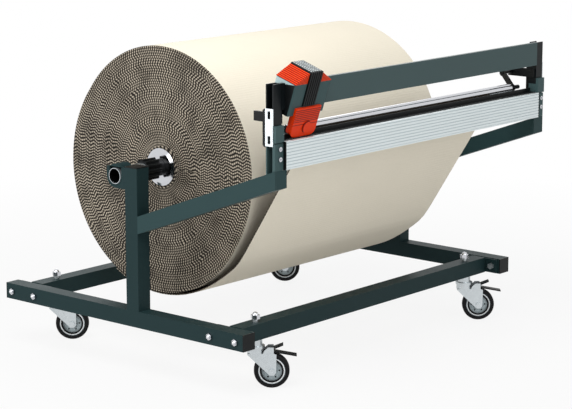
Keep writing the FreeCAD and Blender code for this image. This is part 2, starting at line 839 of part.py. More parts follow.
def guardShell(low, high, corner):
    """One half of the orange knife guard: a shell that is open behind and below."""
    body = newBody()
    half = "guardWidth / 2"
    feature = pad(body, "XZ_Plane", [(f"0 - {half}", low), (half, low), (half, high), (f"0 - {half}", high)],
                  "guardFront - guardBack")
    if corner:
        feature = soften(body, feature, corner,
                         lambda edge: alongY(edge) and edge.Vertexes[0].Z < value(low) + 1)
    return place(body, y="0 - guardBack")


def makeKnifeGuard():
    half = "guardWidth / 2"
    upper = guardShell("0 - guardSplit + 0.5", "0 - guardTop", None)
    lower = guardShell("0 - guardBottom", "0 - guardSplit - 0.5", "guardCorner")
    hollow = box((f"0 - {half} + guardWall", f"{half} - guardWall"),
                 ("0 - guardFront + guardWall", "0 - guardBack + 1"),
                 ("0 - guardBottom - 1", "0 - guardTop - guardWall"))
    boss = rod("Y", ("buttonOffset", "0 - guardFront - 1", "0 - buttonDrop"), "guardWall + 2",
               "buttonRadius + 0.5")
    body_room = box((f"0 - {half} - 1", f"{half} + 1"), ("0 - carriageFront", "0"),
                    ("carriageTop - carriageHeight", "0"))
    carriageNode("knife_guard", cut(upper, hollow, boss, body_room))
    carriageNode("blade_cover", cut(lower, hollow, boss))


def makeBladeAndButton():
    """The round blade stands upright in the slot, and the button sits on the guard in front of it."""
    disc = rod("Y", ("bladeX", "bladeY - bladeThick / 2", "bladeZ"), "bladeThick", "bladeRadius")
    hole = rod("Y", ("bladeX", "bladeY - 2", "bladeZ"), "4", "4 + runGap")
    node("round_blade", cut(disc, hole))
    carriageNode("release_button", rod("Y", ("buttonOffset", "0 - guardFront - buttonProud", "0 - buttonDrop"),
                                       "buttonThick", "buttonRadius"))


def makeGuidePads():
    """Two plastic saddles in the carriage that slide over the bar."""
    pads = []
    for side in SIDES.values():
        x = [f"{side} * (carriageWidth / 2 - {reach}) - carriageX" for reach in ("padLength", "0")][::side]
        outer = box(x, ("barMidY - slotHalf", "barMidY + slotHalf"), ("barLow + 8", "barMidZ + slotTop"))
        inner = box((f"{x[0]} - 1", f"{x[1]} + 1"),
                    ("barMidY - barDepth / 2 - runGap", "barMidY + barDepth / 2 + runGap"),
                    ("barLow", "uprightTop + runGap"))
        pads.append(cut(outer, inner))
    node("guide_pads", group(*pads))


def makeShaft():
    end = "halfWidth + shaftOverhang"
    outer = rod("X", (f"0 - ({end})", "shaftY", "shaftHeight"), f"2 * ({end})", "shaftRadius")
    inner = rod("X", (f"0 - ({end}) - 1", "shaftY", "shaftHeight"), f"2 * ({end}) + 2",
                "shaftRadius - shaftWall")
    node("shaft_tube", cut(outer, inner))


def makeCone(name, side, face):
    """A cone that centres the roll's core; its flange lies against the end of the roll."""
    body = newBody()
    bore = "shaftRadius + runGap"
    revolve(body, "XZ_Plane", [
        ("0 - coneFace - runGap", "coneRadius - 10"), ("0 - coneFace - runGap", bore),
        ("coneLength", bore), ("coneLength", "coneNose"), ("4", "coreRadius - coreWall - 1"),
        ("0 - runGap", "coreRadius - coreWall - 1"), ("0 - runGap", "coneRadius"),
        ("0 - runGap - 1.5", "coneRadius"),
    ], "H_Axis")
    angle = 0 if side < 0 else 180
    place(body, x=xAt(side, face), y="shaftY", z="shaftHeight", axis=Vector(0, 0, 1), angle=str(angle))
    node(name, group(body))


def makeHandNut(name, side, face):
    """A black clamping nut: a smooth nose against its cone, then a rim of teeth."""
    start = f"({face}) + coneFace + 2 * runGap + 0.5"
    nose = span(side, start, f"{start} + nutNose")
    rim = span(side, f"{start} + nutNose", f"{start} + nutLength")
    whole = span(side, start, f"{start} + nutLength")
    core = rod("X", (rim[0], "shaftY", "shaftHeight"), "nutLength - nutNose", "nutRadius - 4")
    collar = rod("X", (nose[0], "shaftY", "shaftHeight"), "nutNose", "nutRadius - 7")
    count = int(sizes["nutTeeth"])
    teeth = []
    for tooth in range(count):
        turn = f"({tooth} * 360 / {count} * 1 deg)"
        teeth.append(rod("X", (rim[0], f"shaftY + (nutRadius - 4) * cos{turn}",
                               f"shaftHeight + (nutRadius - 4) * sin{turn}"), "nutLength - nutNose", "5"))
    bore = rod("X", (f"({whole[0]}) - 1", "shaftY", "shaftHeight"), "nutLength + 2", "shaftRadius")
    node(name, cut(fuse(core, collar, *teeth), bore))


def makeRoll():
    x = ("0 - rollNear", "rollFar")
    length = "rollNear + rollFar"
    at = ("0 - rollNear", "shaftY", "shaftHeight")
    past = ("0 - rollNear - 1", "shaftY", "shaftHeight")
    node("roll_core", cut(rod("X", at, length, "coreRadius"),
                          rod("X", past, f"{length} + 2", "coreRadius - coreWall")))
    node("board_roll", cut(rod("X", at, length, "rollRadius"), rod("X", past, f"{length} + 2", "coreRadius")))


def ring(degrees, radius):
    """A point about the shaft; 0 degrees is straight down, and front is negative."""
    turn = math.radians(degrees)
    return Vector(0, value("shaftY") + radius * math.sin(turn), value("shaftHeight") - radius * math.cos(turn))


def makeLooseWraps():
    """The slack outer turns that hang under the roll, thickest at the bottom."""
    x = ("0 - rollNear", "rollFar")
    centre = ("shaftY + looseShift * sin(looseTurn * 1 deg)",
              "shaftHeight - looseShift * cos(looseTurn * 1 deg)")
    outer = rod("X", (x[0], *centre), "rollNear + rollFar", "rollRadius + looseGrow")
    inner = rod("X", (f"{x[0]} - 1", "shaftY", "shaftHeight"), "rollNear + rollFar + 2", "rollRadius + runGap")
    node("loose_wraps", cut(outer, inner))


def makeWeb():
    """The sheet of board from under the roll up to the cutting slot, as one swept strip."""
    thick = value("board")
    turn = value("looseTurn")
    def hang(degrees, slack):
        """A point that hangs the slack below the loose turns; 0 degrees is straight down."""
        loose = value("rollRadius + looseGrow") + value("looseShift") * math.cos(math.radians(degrees + turn))
        return ring(-degrees, loose + value("runGap") + slack)
    shares = {-30: 0.01, -12: 0.02, 4: 0.08, 18: 0.18, 32: 0.33, 45: 0.68, 58: 1}
    inner = [hang(degrees, share * value("webSlack")) for degrees, share in shares.items()]
    end = Vector(0, value("profileRear + webBack") + thick, value("profileTop + webStand"))
    taut = (end - inner[-1]).normalize()
    spoke = inner[0] - ring(turn, value("looseShift"))
    leaving = Vector(0, spoke.z, -spoke.y).normalize()
    curve = Part.BSplineCurve()
    curve.interpolate(inner, InitialTangent=leaving, FinalTangent=taut)
    steps = 30
    outer = []
    for step in range(steps + 1):
        at = curve.FirstParameter + (curve.LastParameter - curve.FirstParameter) * step / steps
        tangent = curve.tangent(at)[0]
        outer.append(curve.value(at) + Vector(0, -tangent.z, tangent.y) * thick)
    back = Part.BSplineCurve()
    back.interpolate(outer, InitialTangent=leaving, FinalTangent=taut)
    outerEnd = end + Vector(0, -taut.z, taut.y) * thick
    edges = [curve.toShape(), back.toShape(), Part.makeLine(inner[0], outer[0]), Part.makeLine(inner[-1], end),
             Part.makeLine(outer[-1], outerEnd), Part.makeLine(end, outerEnd)]
    face = Part.Face(Part.Wire(Part.__sortEdges__(edges)))
    item = doc.addObject("Part::Feature", "Web")
    solid = face.extrude(Vector(value("rollNear + rollFar"), 0, 0))
    solid.translate(Vector(-value("rollNear"), 0, 0))
    item.Shape = solid
    node("board_web", item)


def castorPlace(label, corner, *items):
    """A castor piece, drawn about its swivel axis and then turned and put at its corner."""
    side, end = corner
    holder = place(group(*items), x=xAt(side, "castorX"), y=f"{end}crossMid",
                   axis=Vector(0, 0, 1), angle="castorTurn")
    node(label, group(holder))


def makeTyre(label, corner):
    body = newBody()
    half, tread, inside = "tyreWidth / 2", "wheelRadius", "wheelRadius - tyreBand"
    revolve(body, "XZ_Plane", [
        (f"0 - {half}", inside), (half, inside), (half, f"{tread} - 6"), (f"{half} - 2", f"{tread} - 2"),
        (f"{half} - 6", tread), (f"6 - {half}", tread), (f"2 - {half}", f"{tread} - 2"),
        (f"0 - {half}", f"{tread} - 6"),
    ], "H_Axis")
    place(body, x="castorTrail", z="wheelZ", axis=Vector(0, 0, 1), angle="90")
    castorPlace(label, corner, body)


def makeHub(label, corner):
    body = newBody()
    half, rim, axle = "tyreWidth / 2 - 1", "wheelRadius - tyreBand", "wheelAxle + runGap"
    revolve(body, "XZ_Plane", [
        (f"0 - ({half})", rim), (f"0 - ({half})", f"{rim} - 4"), ("0 - 6", f"{rim} - 8"), ("0 - 6", "18"),
        ("0 - tyreWidth / 2", "14"), ("0 - tyreWidth / 2", axle),
        ("tyreWidth / 2", axle), ("tyreWidth / 2", "14"),
        ("6", "18"), ("6", f"{rim} - 8"), (half, f"{rim} - 4"), (half, rim),
    ], "H_Axis")
    place(body, x="castorTrail", z="wheelZ", axis=Vector(0, 0, 1), angle="90")
    castorPlace(label, corner, body)


def makeFork(label, corner):
    """A pressed fork with ears for the pedals, and the bolt that carries its wheel."""
    plates = []
    for side in SIDES.values():
        body = newBody()
        pad(body, "XZ_Plane", [
            ("0 - 24", "crownLow"), ("castorTrail - 14", "wheelZ - 5"), ("castorTrail - 6", "wheelZ - 13"),
            ("castorTrail + 6", "wheelZ - 13"), ("castorTrail + 13", "wheelZ - 5"),
            ("castorTrail + 14", "crownLow"),
            ("54", "crownLow + 3"), ("54", "crownLow + 22"), ("38", "crownLow + 22"), ("26", "crownLow + 12"),
            ("22", "crownLow + 3"), ("0 - 24", "crownLow + 3"),
        ], "forkPlate")
        plates.append(place(body, y="0 - forkInside" if side < 0 else "forkOutside"))
    crown = box(("0 - 24", "22"), ("0 - forkOutside", "forkOutside"), ("crownLow", "crownLow + 3"))
    race = rod("Z", ("0", "0", "crownLow + 3"), "headLow - crownLow - 3 - runGap", "headRadius - 3")
    king = rod("Z", ("0", "0", "crownLow - 1"), "40", "kingRadius + runGap")
    hole = rod("Y", ("castorTrail", "0 - forkOutside - 1", "wheelZ"), "2 * forkOutside + 2", "wheelAxle")
    frame = cut(fuse(crown, race, *plates), king, hole)
    bolt = rod("Y", ("castorTrail", "0 - forkOutside - 5", "wheelZ"), "2 * forkOutside + 10", "wheelAxle")
    head = hexagon("Y", ("castorTrail", "0 - forkOutside - 6", "wheelZ"), "6", "9")
    nut = hexagon("Y", ("castorTrail", "forkOutside", "wheelZ"), "6", "9")
    castorPlace(label, corner, frame, fuse(bolt, head, nut))


def makePedals(name, corner):
    """The two foot levers of a braked castor: the long one locks it, the short one frees it."""
    half = "pedalWidth / 2"
    def lever(points, pinX, pinZ):
        body = newBody()
        pad(body, "XZ_Plane", points, "pedalWidth")
        place(body, y=half)
        return fuse(body, rod("Y", (pinX, "0 - forkInside + runGap", pinZ), "2 * (forkInside - runGap)", "3"))
    lock = lever([
        ("31", "pedalLevel"), ("56", "pedalLevel"), ("pedalReach", "pedalLevel - 12"),
        ("pedalReach", "pedalLevel - 12 + pedalPlate"), ("56", "pedalLevel + pedalPlate"),
        ("31", "pedalLevel + pedalPlate"),
    ], "34", "pedalLevel + pedalPlate / 2")
    release = lever([
        ("42", "pedalLevel + 8"), ("50", "pedalLevel + 8"), ("releaseReach", "pedalLevel + 21"),
        ("releaseReach", "pedalLevel + 21 + pedalPlate"), ("48", "pedalLevel + 8 + pedalPlate"),
        ("42", "pedalLevel + 8 + pedalPlate"),
    ], "45", "pedalLevel + 8 + pedalPlate / 2")
    castorPlace(f"lock_pedal_{name}", corner, lock)
    castorPlace(f"release_pedal_{name}", corner, release)


def makeStems(corners):
    stems = []
    for side, end in corners.values():
        x, y = xAt(side, "castorX"), f"{end}crossMid"
        stems.append(fuse(
            rod("Z", (x, y, "headLow"), "7", "headRadius"),
            rod("Z", (x, y, "headLow"), "castorHeight - headLow", "headRadius - 7"),
            rod("Z", (x, y, "castorHeight - 1"), "tube + stemShow + 9", "stemRadius"),
            rod("Z", (x, y, "crownLow - 4"), "headLow - crownLow + 5", "kingRadius"),
            rod("Z", (x, y, "crownLow - 7"), "7 - runGap", "kingRadius + 4"),
        ))
    node("castor_stems", group(*stems))


for name, side in SIDES.items():
    makeSideRail(f"side_rail_{name}", side)
    makePost(f"post_{name}", side)
    makeArm(f"arm_{name}", side)
    makeUpright(f"upright_{name}", side)
makeCrossRail("cross_rail_front", "0 - ")
makeCrossRail("cross_rail_rear", "")
makeFrameFasteners()
makeTubeCaps()
makeCradles()
makeBar()
makeFacePieces()
makeStrapsAndHousings()
makeProfile()
makeProfileCaps()
makeCuttingStrip()
makePivotBrackets()
makeRollerFrame()
makeCarriageBody()
makeCarriageRoof()
makeGripBand()
makeKnifeGuard()
makeGuidePads()
makeBladeAndButton()
makeShaft()
makeCone("cone_left", -1, "rollNear")
makeCone("cone_right", 1, "rollFar")
makeHandNut("hand_nut_left", -1, "rollNear")
makeHandNut("hand_nut_right", 1, "rollFar")
makeRoll()
makeLooseWraps()
makeWeb()

corners = {
    "front_left": (-1, "0 - "),
    "front_right": (1, "0 - "),
    "rear_left": (-1, ""),
    "rear_right": (1, ""),
}
makeStems(corners)
for name, corner in corners.items():
    makeFork(f"castor_fork_{name}", corner)
    makeHub(f"wheel_hub_{name}", corner)
    makeTyre(f"tyre_{name}", corner)
    if name.startswith("front"):
        makePedals(name, corner)

doc.recompute()

failed = [item.Name for item in doc.Objects if "Invalid" in item.State or "Error" in item.State]
if failed:
    raise RuntimeError(f"failed objects: {failed}")

os.makedirs("parts", exist_ok=True)
whole = Base.BoundBox()
for item in nodes:
    shape = item.Shape
    if shape.isNull() or not shape.isValid() or not shape.Solids:
        raise RuntimeError(f"{item.Label} has no valid solid")
    shape.exportStep(f"parts/{item.Label}.step")
    whole.add(shape.BoundBox)
    print(f"{item.Label}: {len(shape.Solids)} solids, {shape.Volume / 1000:.1f} cm3")
print(f"nodes {len(nodes)}, box {whole}")
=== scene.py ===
import bpy, json, math
from mathutils import Vector, Matrix


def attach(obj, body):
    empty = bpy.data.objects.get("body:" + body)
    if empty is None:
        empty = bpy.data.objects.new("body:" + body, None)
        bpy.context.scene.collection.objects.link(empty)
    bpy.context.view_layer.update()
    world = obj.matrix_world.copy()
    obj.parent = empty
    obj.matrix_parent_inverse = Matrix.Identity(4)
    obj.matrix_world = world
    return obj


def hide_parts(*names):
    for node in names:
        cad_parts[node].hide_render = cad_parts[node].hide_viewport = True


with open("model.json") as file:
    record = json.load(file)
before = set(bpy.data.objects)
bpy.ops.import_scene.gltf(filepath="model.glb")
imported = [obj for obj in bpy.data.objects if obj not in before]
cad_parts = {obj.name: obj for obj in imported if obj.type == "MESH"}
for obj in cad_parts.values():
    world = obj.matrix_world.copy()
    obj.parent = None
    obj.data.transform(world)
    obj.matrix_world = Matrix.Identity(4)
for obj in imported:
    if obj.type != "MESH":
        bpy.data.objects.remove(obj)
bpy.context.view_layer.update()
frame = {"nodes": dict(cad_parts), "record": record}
print("frame loaded")

# places that materials and pieces share, in metres
place = {
    "shaftY": 0.08875, "shaftZ": 0.605,
    "carriage": (-0.544, -0.53105, 0.898), "carriageTilt": math.radians(18.5),
}
axisAlongY = (math.pi / 2, 0, 0)  # turns a new rod or ring, whose own axis is upright


# small helpers for modelling
def clearSelection():
    bpy.ops.object.select_all(action="DESELECT")
    bpy.context.view_layer.objects.active = None


def pick(piece):
    clearSelection()
    piece.select_set(True)
    bpy.context.view_layer.objects.active = piece


def rename(piece, name):
    piece.name = name
    piece.data.name = name
    return piece


def settle(piece, name):
    # the place goes into the mesh, so the object ends at the origin
    pick(piece)
    bpy.ops.object.transform_apply(location=True, rotation=True, scale=True)
    return rename(piece, name)


def addBox(name, low, high):
    clearSelection()
    middle = [(a + b) / 2 for a, b in zip(low, high)]
    bpy.ops.mesh.primitive_cube_add(size=1, location=middle)
    box = bpy.context.active_object
    box.scale = [b - a for a, b in zip(low, high)]
    return settle(box, name)


def addRod(name, start, length, radius, sides):
    # a rod that runs along Y from its start
    clearSelection()
    middle = (start[0], start[1] + length / 2, start[2])
    bpy.ops.mesh.primitive_cylinder_add(
        radius=radius, depth=length, vertices=sides, location=middle, rotation=axisAlongY)
    rod = settle(bpy.context.active_object, name)
    bpy.ops.object.shade_smooth_by_angle(angle=math.radians(35))
    return rod


def addRing(name, centre, major, minor):
    # a round ring about an axis along Y
    clearSelection()
    bpy.ops.mesh.primitive_torus_add(
        major_radius=major, minor_radius=minor, major_segments=48, minor_segments=8,
        location=centre, rotation=axisAlongY)
    ring = settle(bpy.context.active_object, name)
    bpy.ops.object.shade_smooth()
    return ring


def editAll(piece, operator, **settings):
    # one edit-mode operator on the whole mesh
    pick(piece)
    bpy.ops.object.mode_set(mode="EDIT")
    bpy.ops.mesh.select_all(action="SELECT")
    operator(**settings)
    bpy.ops.object.mode_set(mode="OBJECT")
    return piece


def cutAway(piece, point, normal):
    # keeps what lies behind the plane, and closes the cut
    return editAll(piece, bpy.ops.mesh.bisect, plane_co=point, plane_no=normal,
                   use_fill=True, clear_outer=True)


def repeat(piece, count, step):
    # evenly spaced copies in the piece's own mesh
    pick(piece)
    row = piece.modifiers.new("row", "ARRAY")
    row.count = count
    row.use_relative_offset = False
    row.use_constant_offset = True
    row.constant_offset_displace = step
    bpy.ops.object.modifier_apply(modifier="row")
    return piece


def copyPiece(piece, name):
    # a copy with its own mesh
    pick(piece)
    bpy.ops.object.duplicate()
    return rename(bpy.context.active_object, name)


def join(name, pieces):
    clearSelection()
    for piece in pieces:
        piece.select_set(True)
    bpy.context.view_layer.objects.active = pieces[0]
    bpy.ops.object.join()
    return rename(bpy.context.active_object, name)


def moveMesh(piece, matrix):
    piece.data.transform(matrix)
    piece.data.update()
    return piece


def finishPiece(piece, body, material):
    piece.data.materials.clear()
    piece.data.materials.append(material)
    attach(piece, body)


# small helpers for materials
def link(tree, source, socket):
    # a socket takes another node's output or a plain value
    if isinstance(source, bpy.types.NodeSocket):
        tree.links.new(source, socket)
    else:
        socket.default_value = source


def feed(tree, node, inputs):
    for name, source in inputs.items():
        link(tree, source, node.inputs[name])


def addNode(tree, kind, inputs, **settings):
    node = tree.nodes.new("ShaderNode" + kind)
    for name, value in settings.items():
        setattr(node, name, value)
    feed(tree, node, inputs)
    return node


def mathNode(tree, operation, first, second=None, third=None, clamp=False):
    sources = {index: source for index, source in enumerate((first, second, third)) if source is not None}
    return addNode(tree, "Math", sources, operation=operation, use_clamp=clamp).outputs[0]


def mixColours(tree, share, first, second):
    # the names A and B also belong to number sockets, so the colour sockets go by their order
    mix = addNode(tree, "Mix", {0: share, 6: first, 7: second}, data_type="RGBA")
    return mix.outputs[2]


def splitPlace(tree, kind="Object"):
    # X, Y and Z of the place on a piece, or of its normal there
    coordinates = addNode(tree, "TexCoord", {})
    return addNode(tree, "SeparateXYZ", {0: coordinates.outputs[kind]}).outputs


def addNoise(tree, inputs):
    coordinates = addNode(tree, "TexCoord", {})
    return addNode(tree, "TexNoise", {"Vector": coordinates.outputs["Object"], **inputs}).outputs["Fac"]


def fromAxis(tree, centreY, centreZ):
    # how far a place is from an axis along X, rearwards and upwards
    places = splitPlace(tree)
    return mathNode(tree, "SUBTRACT", places["Y"], centreY), mathNode(tree, "SUBTRACT", places["Z"], centreZ)


def sumOfSquares(tree, y, z):
    return mathNode(tree, "ADD", mathNode(tree, "MULTIPLY", y, y), mathNode(tree, "MULTIPLY", z, z))


def waves(tree, count):
    # 0 at every whole and half count, up to 1 and down to -1 between them
    return mathNode(tree, "SINE", mathNode(tree, "MULTIPLY", count, 2 * math.pi))


def newGroup(name, inputs, outputs):
    group = bpy.data.node_groups.new(name, "ShaderNodeTree")
    kinds = {label: "NodeSocketFloat" for label in (*inputs, *outputs)}
    if "Colour" in kinds:
        kinds["Colour"] = "NodeSocketColor"
    for label, value in inputs.items():
        socket = group.interface.new_socket(name=label, in_out="INPUT", socket_type=kinds[label])
        socket.default_value = value
    for label in outputs:
        group.interface.new_socket(name=label, in_out="OUTPUT", socket_type=kinds[label])
    return group, group.nodes.new("NodeGroupInput").outputs, group.nodes.new("NodeGroupOutput")


# fine mottling of a surface: colour, roughness and a small relief
surfaceGrain = {"fineDetail": 4, "broadScale": 5, "broadDetail": 3, "roughShare": 0.25, "depth": 0.001}


def buildGrainGroup():
    look = surfaceGrain
    group, given, result = newGroup(
        "surfaceGrain", {"Colour": (0.5, 0.5, 0.5, 1), "Scale": 60.0, "Amount": 0.06, "Roughness": 0.4},
        ("Colour", "Roughness", "Height"))
    fine = addNoise(group, {"Scale": given["Scale"], "Detail": look["fineDetail"]})
    broad = addNoise(group, {"Scale": look["broadScale"], "Detail": look["broadDetail"]})
    swing = mathNode(group, "SUBTRACT", mathNode(group, "ADD", fine, broad), 1.0)
    gain = mathNode(group, "ADD", mathNode(group, "MULTIPLY", swing, given["Amount"]), 1.0)
    tint = addNode(group, "VectorMath", {0: given["Colour"], "Scale": gain}, operation="SCALE")
    rough = mathNode(group, "MULTIPLY", swing, look["roughShare"])
    rough = mathNode(group, "ADD", rough, given["Roughness"], clamp=True)
    feed(group, result, {"Colour": tint.outputs[0], "Roughness": rough, "Height": fine})
    return group


# the cut edge of wound single-face board: liners in rings, flutes as waves between them
fluteEdge = {
    "wobbleScale": 9, "wobbleDetail": 2, "shift": 2.4, "ringShift": 0.02,
    "slipWidth": 0.018, "slip": 45, "blockWidth": 0.09,
    "wave": (0.90, 0.30), "liner": (0.5, 0.6),
    "patchScale": 16, "patchDetail": 5, "tone": (2.2, -0.05),
}


def buildFluteGroup():
    look = fluteEdge
    group, given, result = newGroup(
        "fluteEdge", {"Centre Y": 0.0, "Centre Z": 0.0, "Pitch": 0.005, "Wave": 0.012}, ("Mask",))
    y, z = fromAxis(group, given["Centre Y"], given["Centre Z"])
    radius = mathNode(group, "SQRT", sumOfSquares(group, y, z))
    angle = mathNode(group, "ARCTAN2", z, y)
    wobble = addNoise(group, {"Scale": look["wobbleScale"], "Detail": look["wobbleDetail"]})
    shift = mathNode(group, "MULTIPLY", wobble, look["shift"])
    # turns slip to and fro against their neighbours, so the waves nest as herringbones
    ring = mathNode(group, "ADD", radius, mathNode(group, "MULTIPLY", shift, look["ringShift"]))
    slip = mathNode(group, "MULTIPLY", mathNode(group, "PINGPONG", ring, look["slipWidth"]), look["slip"])
    # waves keep their number around the roll within a block of turns, and so stay whole
    block = mathNode(group, "FLOOR", mathNode(group, "DIVIDE", ring, look["blockWidth"]))
    reach = mathNode(group, "MULTIPLY", mathNode(group, "ADD", block, 0.5), look["blockWidth"])
    count = mathNode(group, "DIVIDE", mathNode(group, "MULTIPLY", angle, reach), given["Wave"])
    count = mathNode(group, "ADD", mathNode(group, "ADD", count, slip), shift)
    wave = mathNode(group, "MULTIPLY_ADD", waves(group, count), *look["wave"])
    turns = mathNode(group, "DIVIDE", radius, given["Pitch"])
    liner = mathNode(group, "MULTIPLY_ADD", waves(group, turns), *look["liner"])
    patches = addNoise(group, {"Scale": look["patchScale"], "Detail": look["patchDetail"]})
    tone = mathNode(group, "MULTIPLY_ADD", patches, *look["tone"])
    paper = mathNode(group, "MULTIPLY", wave, liner, clamp=True)
    feed(group, result, {"Mask": mathNode(group, "MULTIPLY", paper, tone, clamp=True)})
    return group


grain = buildGrainGroup()
flutes = buildFluteGroup()


def newShader(name):
    material = bpy.data.materials.new(name)
    material.use_nodes = True
    tree = material.node_tree
    return material, tree, tree.nodes["Principled BSDF"]


def addRelief(tree, shader, height, strength, depth):
    bump = addNode(tree, "Bump", {"Strength": strength, "Distance": depth, "Height": height})
    feed(tree, shader, {"Normal": bump.outputs["Normal"]})


def newMaterial(name, colour, roughness=0.4, metallic=0.0, scale=60.0, amount=0.06, relief=0.02, gloss=0.5):
    material, tree, shader = newShader(name)
    worn = addNode(tree, "Group", {}, node_tree=grain, name="grain")
    feed(tree, worn, {"Colour": (*colour, 1), "Scale": scale, "Amount": amount, "Roughness": roughness})
    feed(tree, shader, {
        "Base Color": worn.outputs["Colour"], "Roughness": worn.outputs["Roughness"],
        "Metallic": metallic, "Specular IOR Level": gloss})
    addRelief(tree, shader, worn.outputs["Height"], relief, surfaceGrain["depth"])
    return material


def tintByPlace(material, colour, rule):
    # a second colour where the rule, a function of the place on the piece, gives 1
    tree = material.node_tree
    mixed = mixColours(tree, rule(tree), tree.nodes["grain"].outputs["Colour"], (*colour, 1))
    feed(tree, tree.nodes["Principled BSDF"], {"Base Color": mixed})
    return material


def beyond(axis, limit, compare="GREATER_THAN"):
    return lambda tree: mathNode(tree, compare, splitPlace(tree)[axis], limit)


def boreShade(limit):
    # 1 nearer to the shaft's axis than the limit, where the inside of the bore is painted near black as
    # painted shade
    def rule(tree):
        y, z = fromAxis(tree, place["shaftY"], place["shaftZ"])
        return mathNode(tree, "LESS_THAN", sumOfSquares(tree, y, z), limit * limit)
    return rule


def grooveShade(axis, centre, first, pitch, share):
    # narrow lines at an even pitch, counted outwards from a centre, used to paint shade into grooves
    def rule(tree):
        away = mathNode(tree, "ABSOLUTE", mathNode(tree, "SUBTRACT", splitPlace(tree)[axis], centre))
        steps = mathNode(tree, "DIVIDE", mathNode(tree, "SUBTRACT", away, first), pitch)
        middle = mathNode(tree, "SUBTRACT", mathNode(tree, "FRACT", steps), 0.5)
        line = mathNode(tree, "GREATER_THAN", mathNode(tree, "ABSOLUTE", middle), 0.5 - share / 2)
        return mathNode(tree, "MULTIPLY", line, mathNode(tree, "GREATER_THAN", away, first))
    return rule


# single-face board: a smooth liner on its round faces, and its fluted edge on the two ends, where the open
# flutes between the paper lines get a near-black colour as painted shade
boardPaper = {
    "roughness": 0.85, "gloss": 0.2, "grainScale": 140, "grainAmount": 0.05, "endFacing": 0.7,
    "ribsPerRadian": 290 / (2 * math.pi), "ribHeight": 0.5, "relief": 0.25, "depth": 0.0008,
}


def newBoard(name, liner, kraft, recessShade, pitch, wave):
    look = boardPaper
    material, tree, shader = newShader(name)
    facing = mathNode(tree, "ABSOLUTE", splitPlace(tree, "Normal")["X"])
    onEnd = mathNode(tree, "GREATER_THAN", facing, look["endFacing"])
    edge = addNode(tree, "Group", {}, node_tree=flutes)
    feed(tree, edge, {"Centre Y": place["shaftY"], "Centre Z": place["shaftZ"], "Pitch": pitch, "Wave": wave})
    # the recess colour in the open flutes is painted shade
    fluted = mixColours(tree, edge.outputs["Mask"], (*recessShade, 1), (*kraft, 1))
    paper = addNode(tree, "Group", {}, node_tree=grain)
    feed(tree, paper, {"Colour": (*liner, 1), "Scale": look["grainScale"], "Amount": look["grainAmount"]})
    feed(tree, shader, {
        "Base Color": mixColours(tree, onEnd, paper.outputs["Colour"], fluted),
        "Roughness": look["roughness"], "Specular IOR Level": look["gloss"]})
    # faint ribs where the flutes show through the liner
    y, z = fromAxis(tree, place["shaftY"], place["shaftZ"])
    ribs = waves(tree, mathNode(tree, "MULTIPLY", mathNode(tree, "ARCTAN2", z, y), look["ribsPerRadian"]))
    ribs = mathNode(tree, "MULTIPLY", ribs, mathNode(tree, "SUBTRACT", 1.0, onEnd))
    height = mathNode(tree, "MULTIPLY_ADD", ribs, look["ribHeight"], paper.outputs["Height"])
    addRelief(tree, shader, height, look["relief"], look["depth"])
    return material


# finishes of the CAD pieces, by slot
paintGrain = {"amount": 0.10, "scale": 220, "relief": 0.04}
plateGrain = {"metallic": 0.85, "amount": 0.14, "scale": 90}
aluminiumGrain = {"amount": 0.03, "scale": 160}
finishes = {
    "frame_paint": newMaterial("framePaint", (0.013, 0.030, 0.032), 0.45, gloss=0.08, **paintGrain),
    "grey_paint": newMaterial("greyPaint", (0.045, 0.082, 0.084), 0.45, gloss=0.12, **paintGrain),
    "chrome": newMaterial("chromePlate", (0.60, 0.61, 0.64), 0.12, metallic=1.0, amount=0.04, relief=0.0),
    "zinc": newMaterial("zincPlate", (0.56, 0.60, 0.62), 0.30, relief=0.05, **plateGrain),
    "black_plastic": newMaterial(
        "blackPlastic", (0.004, 0.005, 0.0055), 0.38, amount=0.10, relief=0.04, gloss=0.15),
    "black_steel": newMaterial("blackSteel", (0.007, 0.008, 0.009), 0.28, amount=0.10, gloss=0.35),
    "aluminium": newMaterial("satinAluminium", (0.66, 0.72, 0.73), 0.42, metallic=0.45, **aluminiumGrain),
    "grey_plastic": newMaterial(
        "greyPlastic", (0.040, 0.076, 0.079), 0.45, amount=0.08, relief=0.04, gloss=0.12),
    "orange_plastic": newMaterial(
        "orangePlastic", (0.72, 0.038, 0.003), 0.40, amount=0.08, relief=0.03, gloss=0.12),
    "knife_steel": newMaterial("knifeSteel", (0.62, 0.63, 0.65), 0.22, metallic=1.0, amount=0.05),
    "tyre_rubber": newMaterial(
        "tyreRubber", (0.005, 0.005, 0.0055), 0.55, amount=0.15, relief=0.06, gloss=0.12),
    "board": newBoard(
        "linerBoard", liner=(0.86, 0.80, 0.665), kraft=(0.46, 0.40, 0.315), recessShade=(0.010, 0.008, 0.006),
        pitch=0.0078, wave=0.0104),
}

# finishes of single pieces and of the trim
blackEnd = (0.004, 0.006, 0.007)
# satin aluminium with darker lines in its grooves: painted shade
ribbedAluminiumGrooveShade = tintByPlace(
    newMaterial("ribbedAluminiumGrooveShade", (0.70, 0.76, 0.77), 0.40, metallic=0.4, **aluminiumGrain),
    (0.53, 0.60, 0.62), grooveShade("Z", centre=0.688, first=0.009, pitch=0.0089, share=0.32))
uprightPaint = tintByPlace(
    newMaterial("uprightPaint", (0.045, 0.082, 0.084), 0.36, amount=0.10, scale=220, gloss=0.15),
    blackEnd, beyond("Z", 0.800))
barPaint = tintByPlace(
    newMaterial("barPaint", (0.046, 0.078, 0.080), 0.36, amount=0.08, scale=220, gloss=0.15),
    blackEnd, beyond("X", -0.600, "LESS_THAN"))
# zinc-plated shaft tube whose bore is painted near black: painted shade
shaftSteelBoreShade = tintByPlace(
    newMaterial("shaftSteelBoreShade", (0.56, 0.60, 0.62), 0.30, **plateGrain),
    (0.010, 0.011, 0.012), boreShade(0.0225))
